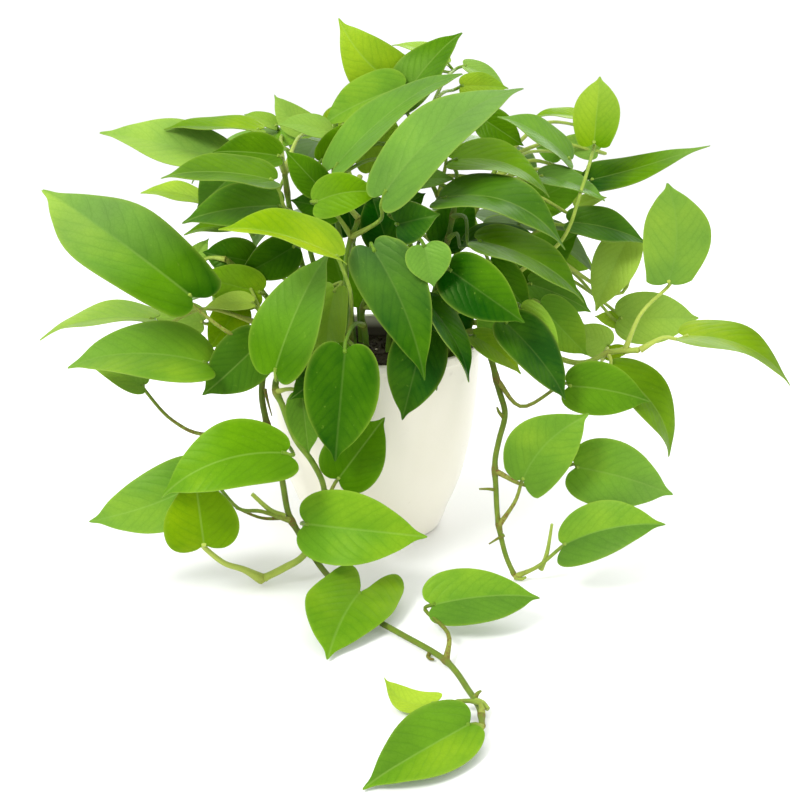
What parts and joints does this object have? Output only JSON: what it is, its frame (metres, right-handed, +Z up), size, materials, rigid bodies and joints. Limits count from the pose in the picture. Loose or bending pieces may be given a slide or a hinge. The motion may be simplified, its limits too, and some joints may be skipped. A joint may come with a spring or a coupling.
{
  "type": "potted pothos plant",
  "caption": "Trailing houseplant with heart-shaped leaves on leafy stems, some trailing over the rim, in a white tapered pot filled with soil.",
  "frame": {"origin": "centre of the pot's flat underside, on the surface it stands on", "axes": "+Z up along the pot's axis, -Y toward the front, where the long stem trails, +X to the right seen from the front"},
  "size_m": [0.4808, 0.5056, 0.3467],
  "materials": {
    "pot_plastic": "satin",
    "soil": "matte",
    "leaf_deep": "satin",
    "leaf_mid": "satin",
    "leaf_bright": "satin"
  },
  "bodies": {
    "root": {"pot": "pot_plastic", "soil": "soil", "stem_long_vine": "leaf_mid", "stem_left_vine": "leaf_bright", "stem_left_low": "leaf_mid", "stem_left_mid": "leaf_deep", "stem_left_high": "leaf_mid", "stem_top_left": "leaf_bright", "stem_top_mid": "leaf_bright", "stem_top_right": "leaf_mid", "stem_front_high": "leaf_mid", "stem_front_left": "leaf_mid", "stem_front_mid": "leaf_deep", "stem_centre": "leaf_deep", "stem_right_high": "leaf_mid", "stem_right_up": "leaf_mid", "stem_right_mid": "leaf_deep", "stem_right_back": "leaf_mid", "stem_right_low": "leaf_bright", "stem_right_vine": "leaf_mid", "stem_far_left": "leaf_deep", "stem_far_mid_left": "leaf_deep", "stem_far_mid_right": "leaf_deep", "stem_far_right": "leaf_deep"}
  },
  "joints": []
}
